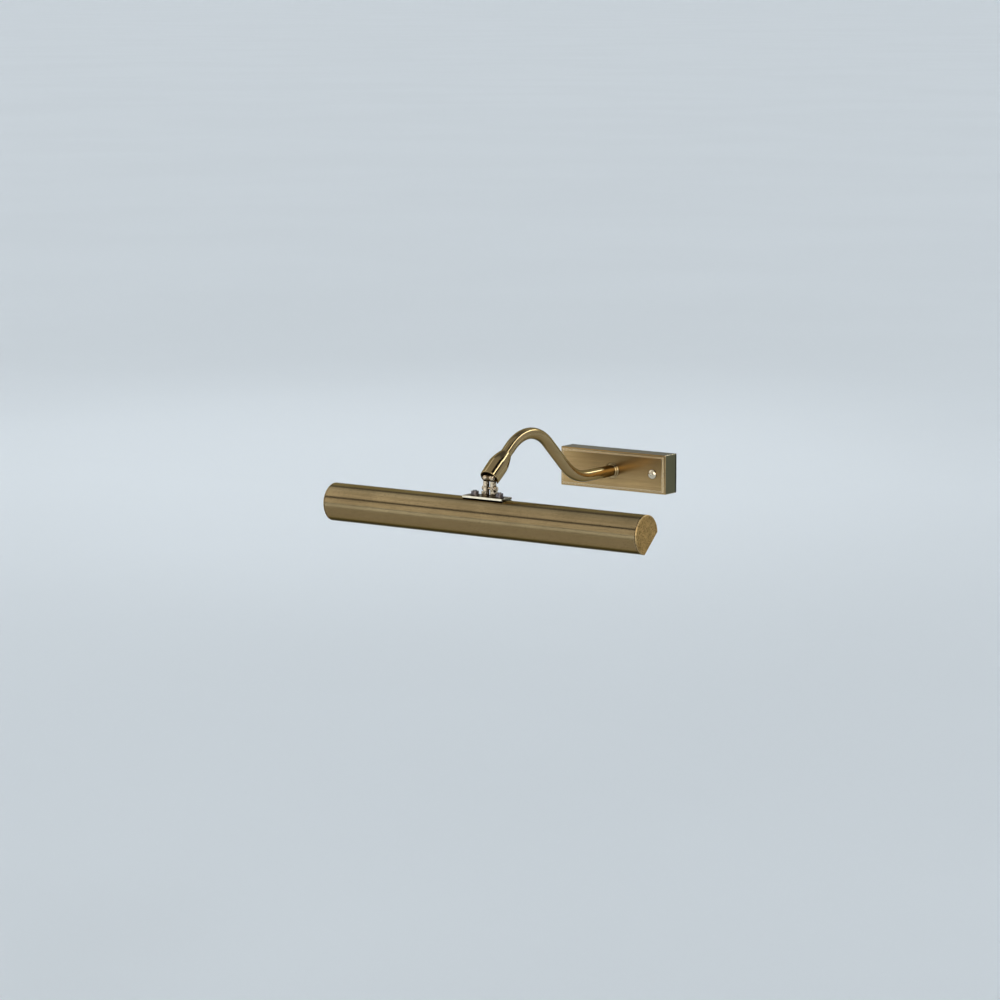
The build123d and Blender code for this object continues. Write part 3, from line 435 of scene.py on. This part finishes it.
def aged_brass(
    name, tones, grain, edge=0.5 * MM, rough=0.20, blotch=22.0, streak=0.16, patch=0.22, patina_and_shade_reach=2.0 * MM,
    painted_shade_by_facing=(), painted_shade_zones=(), specks=(0.25, 1500.0, 0.62), wear_and_highlight=0.75, relief=BRUSHED,
):
    """Antique brass: darkened, then brushed back along the grain, with patina and painted shade in its
    corners, worn edges that carry a painted highlight, and a soft lacquer. painted_shade_by_facing lists
    (direction, low, high, tone) for painted shade, shadow and reflection on faces, by the way they face;
    painted_shade_zones lists (axis, low, high, tone) for bands of painted shade and shadow, by place;
    specks is (strength, scale, start)."""
    light, dark, bright = tones
    material, n = new_material(name)
    coordinate = n.add("ShaderNodeTexCoord")
    place = coordinate.outputs["Object"]
    fine = n.noise(n.scaled(place, grain), 1.0, 4.0, 0.6)
    coarse = n.noise(n.scaled(place, tuple(g * STREAK_SCALE for g in grain)), 1.0, 2.0)
    patches = n.noise(place, blotch, 5.0, 0.55)

    darkness = n.math("MULTIPLY_ADD", n.smooth(patches, *PATCH_SPAN), patch, DARK_BASE)
    darkness = n.add_share(darkness, n.smooth(coarse, *STREAK_SPAN), streak)
    darkness = n.add_share(darkness, n.smooth(fine, *GRAIN_SPAN), DARK_GRAIN)
    # Corners and recesses darken: patina together with painted shade.
    darkness = n.add_share(darkness, crevice_patina_and_shade(n, patina_and_shade_reach), CORNER_PATINA_AND_SHADE, clamp=True)
    colour = n.mix(darkness, light, dark)
    # Painted shade, shadow and reflection on faces, by the way they face.
    for direction, low, high, tone in painted_shade_by_facing:
        facing = n.dot(coordinate.outputs["Normal"], direction)
        shade = n.smooth(n.math("MULTIPLY_ADD", coarse, STREAK_BLUR, facing), low, high)
        colour = n.mix(n.math("MULTIPLY", shade, PAINTED_FACING_SHADE), colour, tone)
    # Worn edges, brightened further as a painted highlight.
    colour = n.mix(n.math("MULTIPLY", worn_and_highlit_edges(n, edge), wear_and_highlight), colour, bright)
    # Painted shade and shadow in bands, by place.
    for axis, low, high, tone in painted_shade_zones:
        colour = n.mix(n.smooth(n.dot(place, axis), low, high), colour, tone)
    strength, scale, start = specks
    spots = n.smooth(n.noise(place, scale, 1.0), start, start + SPECK_BORDER)
    colour = n.mix(n.math("MULTIPLY", spots, strength), colour, scaled_tone(dark, SPECK_TONE))

    roughness = n.math("MULTIPLY_ADD", fine, GRAIN_ROUGHNESS, rough - GRAIN_ROUGHNESS / 2)
    roughness = n.add_share(roughness, darkness, DARK_ROUGHNESS)
    normal = n.bump(n.add_share(fine, patches, PATCH_HEIGHT), *relief)
    n.finish(n.principled(
        colour, roughness, Normal=normal, Metallic=1.0, Specular_Tint=EDGE_TINT, Coat_Weight=LACQUER,
        Coat_Roughness=LACQUER_ROUGHNESS,
    ))
    return material


def plain_metal(name, light, dark, rough, edge=0.2 * MM):
    """Steel, plated or blackened: cloudy plating, fine tool marks and brighter edges, partly wear and
    partly a painted glint.
    """
    material, n = new_material(name)
    place = n.add("ShaderNodeTexCoord").outputs["Object"]
    clouds = n.noise(place, PLATING_CLOUDS, 4.0, 0.6)
    marks = n.noise(n.scaled(place, GRAIN_OF_TURNING), 1.0, 3.0)
    colour = n.mix(n.smooth(clouds, *MOTTLE_SPAN), light, dark)
    # Edges brightened by wear and by a painted glint.
    edges = n.math("MULTIPLY", worn_and_highlit_edges(n, edge), EDGE_WEAR_AND_GLINT)
    colour = n.mix(edges, colour, scaled_tone(light, EDGE_WEAR_AND_GLINT_TONE))
    roughness = n.math("MULTIPLY_ADD", marks, TOOL_ROUGHNESS, rough - TOOL_ROUGHNESS / 2)
    n.finish(n.principled(colour, roughness, Normal=n.bump(marks, *TOOL_MARKS), Metallic=1.0))
    return material


def moulding(name, light, dark, rough):
    """Moulded plastic, ceramic or rubber: a faint mottle and a fine pitted skin."""
    material, n = new_material(name)
    place = n.add("ShaderNodeTexCoord").outputs["Object"]
    mottle = n.noise(place, MOULDING_MOTTLE, 4.0)
    skin = n.noise(place, PITS, 2.0)
    colour = n.mix(n.smooth(mottle, *MOTTLE_SPAN), light, dark)
    roughness = n.math("MULTIPLY_ADD", skin, PIT_ROUGHNESS, rough - PIT_ROUGHNESS / 2)
    n.finish(n.principled(colour, roughness, Normal=n.bump(skin, *PITTED)))
    return material


# =============================================================================
# The object's materials
# =============================================================================


def shade_brass():
    return aged_brass(
        "brushed_shade_brass", (BRASS, BRASS_DARK, BRASS_BRIGHT), GRAIN_ALONG_SHADE, rough=0.17,
        specks=(0.40, 1100.0, 0.56),
        # Painted warm shade on faces turned downwards, and painted deep shade along the underside.
        painted_shade_by_facing=((DOWNWARDS, 0.0, 0.25, WARM_PAINTED_SHADE), (SHADE_UNDERSIDE, 0.85, 0.965, DEEP_PAINTED_SHADE)),
    )


def box_brass():
    """Brighter than the shade, with worn front edges that carry a painted highlight, a painted olive
    reflection on its sides, top and bottom, and a painted black shadow next to the wall.
    """
    return aged_brass(
        "brushed_box_brass", ((0.47, 0.31, 0.135, 1), BRASS_DARK, (0.98, 0.84, 0.58, 1)),
        GRAIN_ALONG_SHADE, rough=0.22, edge=1.1 * MM, wear_and_highlight=0.9,
        painted_shade_by_facing=((AWAY_FROM_ROOM, -0.45, -0.15, OLIVE_PAINTED_REFLECTION),),
        painted_shade_zones=((AWAY_FROM_ROOM, -4.6 * MM, -2.4 * MM, BLACK_PAINTED_SHADOW),),
    )


def arm_brass():
    return aged_brass(
        "polished_arm_brass", ((0.46, 0.335, 0.165, 1), BRASS_DARK, BRASS_BRIGHT), GRAIN_ROUND_ARM,
        rough=0.11, streak=0.10,
        # Painted warm shade on faces turned downwards, darkest underneath.
        painted_shade_by_facing=((DOWNWARDS, 0.1, 0.7, WARM_PAINTED_SHADE), (DOWNWARDS, 0.72, 0.97, DEEP_PAINTED_SHADE)),
    )


def cap_brass():
    """Golden and speckled, with no grain."""
    return aged_brass(
        "rubbed_cap_brass", ((0.58, 0.365, 0.140, 1), (0.19, 0.12, 0.045, 1), BRASS_BRIGHT),
        GRAIN_OF_CAP, rough=0.36, blotch=150.0, patch=0.40, specks=(0.60, 900.0, 0.50),
    )


def cast_brass():
    return aged_brass(
        "cast_fitting_brass",
        ((0.92, 0.74, 0.52, 1), (0.06, 0.04, 0.02, 1), (0.98, 0.90, 0.74, 1)),
        GRAIN_OF_CASTING, rough=0.13, blotch=420.0, edge=0.35 * MM, patina_and_shade_reach=3.5 * MM, patch=0.75,
        relief=LUMPY,
    )


def screw_brass():
    return aged_brass(
        "bright_screw_brass",
        ((0.92, 0.82, 0.62, 1), (0.10, 0.07, 0.035, 1), (0.98, 0.93, 0.80, 1)),
        GRAIN_OF_TURNING, rough=0.14, blotch=300.0, edge=0.3 * MM,
    )


def eye_brass():
    return aged_brass(
        "dull_eye_brass",
        ((0.20, 0.14, 0.075, 1), (0.05, 0.035, 0.02, 1), (0.45, 0.35, 0.22, 1)),
        GRAIN_OF_TURNING, rough=0.30, blotch=200.0, edge=0.2 * MM, patina_and_shade_reach=3.0 * MM,
    )


def saddle_brass():
    """Bright brass with worn edges that carry a painted highlight; painted shade darkens the top, the
    right end and the band behind the fork.
    """
    behind_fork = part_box("fork_leg_left")[1].y
    return aged_brass(
        "saddle_brass",
        ((0.86, 0.76, 0.58, 1), (0.16, 0.12, 0.07, 1), (0.98, 0.92, 0.78, 1)),
        GRAIN_ACROSS_SADDLE, rough=0.14, blotch=200.0, edge=0.3 * MM, patina_and_shade_reach=3.0 * MM,
        painted_shade_by_facing=((UPWARDS, 0.5, 0.9, DEEP_PAINTED_SHADE), (RIGHTWARDS, 0.5, 0.9, DEEP_PAINTED_SHADE)),
        painted_shade_zones=((AWAY_FROM_ROOM, behind_fork - 0.4 * MM, behind_fork + 0.3 * MM, DEEP_PAINTED_SHADE),),
    )


def blackened_steel():
    return plain_metal(
        "blackened_steel", (0.185, 0.165, 0.165, 1), (0.028, 0.023, 0.024, 1), 0.20, edge=0.35 * MM
    )


def zinc_plate():
    return plain_metal("zinc_plate", (0.62, 0.63, 0.62, 1), (0.46, 0.47, 0.48, 1), 0.32)


def white_moulding():
    return moulding("white_moulding", (0.80, 0.79, 0.74, 1), (0.72, 0.70, 0.64, 1), 0.38)


def black_rubber():
    return moulding("black_rubber", (0.030, 0.030, 0.031, 1), (0.018, 0.018, 0.018, 1), 0.62)


def lead_sheath():
    return moulding("lead_sheath", (0.10, 0.075, 0.05, 1), (0.07, 0.05, 0.035, 1), 0.42)


def lamp_cap_metal():
    return plain_metal("lamp_cap_metal", (0.72, 0.71, 0.68, 1), (0.58, 0.56, 0.52, 1), 0.25)


def filament_wire():
    return plain_metal("filament_wire", (0.42, 0.41, 0.40, 1), (0.30, 0.29, 0.28, 1), 0.35)


def clear_glass():
    """Lamp glass, slightly wavy, with a little dust."""
    material, n = new_material("clear_glass")
    place = n.add("ShaderNodeTexCoord").outputs["Object"]
    waves = n.noise(place, GLASS_WAVES, 2.0)
    dust = n.noise(place, DUST, 4.0, 0.7)
    n.finish(n.principled(
        (1.0, 1.0, 1.0, 1), n.smooth(dust, *DUST_SPAN, *DUST_ROUGHNESS),
        Normal=n.bump(waves, *WAVY), Transmission_Weight=1.0, IOR=GLASS_INDEX,
    ))
    return material


# The CAD nodes that each material covers.
COVERAGE = (
    (shade_brass, ("shade_shell",)),
    (box_brass, ("box_cover",)),
    (arm_brass, ("arm_tube", "arm_sleeve", "arm_collar")),
    (cap_brass, ("end_cap_left", "end_cap_right")),
    (cast_brass, (
        "fork_leg_left", "fork_leg_right", "pivot_screw", "pivot_nut", "clamp_screw", "clamp_nut",
    )),
    (screw_brass, ("cover_screw",)),
    (eye_brass, ("knuckle_eye",)),
    (saddle_brass, ("saddle_plate",)),
    (blackened_steel, ("saddle_screws", "saddle_nuts", "saddle_washers")),
    (zinc_plate, (
        "back_plate", "screw_pillar", "arm_nipple", "arm_washer", "arm_lock_nut", "backing_strip",
        "holder_bracket", "holder_nut_left", "holder_nut_right", "earth_screw", "terminal_screws",
    )),
    (white_moulding, ("terminal_block", "lampholder_left", "lampholder_right")),
    (black_rubber, ("cable_grommet", "shade_grommet")),
    (lead_sheath, ("arm_flex", "arm_cores", "shade_leads")),
    (lamp_cap_metal, ("lamp_cap_left", "lamp_cap_right")),
    (filament_wire, ("lamp_filament_left", "lamp_filament_right")),
    (clear_glass, ("lamp_glass_left", "lamp_glass_right")),
)


def paint():
    for make_material, names in COVERAGE:
        material = make_material()
        for name in names:
            mesh = nodes[name].data
            mesh.materials.clear()
            mesh.materials.append(material)


# =============================================================================
# The bare leads at the knuckle
# =============================================================================


def lead_tube(name, x, route):
    """A smooth round tube along a route, in the plane at x."""
    data = bpy.data.curves.new(name, "CURVE")
    data.dimensions = "3D"
    data.bevel_depth = LEAD_RADIUS
    data.bevel_resolution = LEAD_ROUNDNESS
    data.resolution_u = LEAD_SMOOTHNESS
    data.use_fill_caps = True
    spline = data.splines.new("NURBS")
    spline.points.add(len(route) - 1)
    for point, place in zip(spline.points, route):
        point.co = (x, place.y, place.z, 1)
    spline.order_u = 3
    spline.use_endpoint_u = True
    curve = bpy.data.objects.new(f"{name}_curve", data)
    mesh = bpy.data.meshes.new_from_object(curve)
    bpy.data.objects.remove(curve)
    mesh.name = name
    for polygon in mesh.polygons:
        polygon.use_smooth = True
    return mesh


def make_leads():
    """The lamp's two leads, bare between the arm and the shade; they are drawn as fixed tubes and do not
    follow the shade's tilt.
    """
    core_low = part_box("arm_cores")[0]
    top_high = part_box("shade_leads")[1]
    leave = Vector((0, core_low.y - LEAD_FALL.z * LEAD_RADIUS, core_low.z - LEAD_FALL.y * LEAD_RADIUS))
    enter = Vector((0, top_high.y - LEAD_RADIUS, top_high.z))
    route = (
        leave - LEAD_FALL * LEAD_TUCK, leave, leave + LEAD_FALL * LEAD_RUN,
        enter + LEAD_UPPER, enter + LEAD_LOWER, enter, enter - LEAD_END,
    )
    sheath = nodes["shade_leads"].data.materials[0]
    for name, side in (("knuckle_lead_left", -1), ("knuckle_lead_right", 1)):
        mesh = lead_tube(name, side * LEAD_SPACING, route)
        mesh.materials.clear()
        mesh.materials.append(sheath)
        lead = link(bpy.data.objects.new(name, mesh))
        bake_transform(lead)


make_camera()
make_world()
make_lights()
make_floor()
paint()
make_leads()
bpy.context.scene.view_settings.view_transform = "Standard"
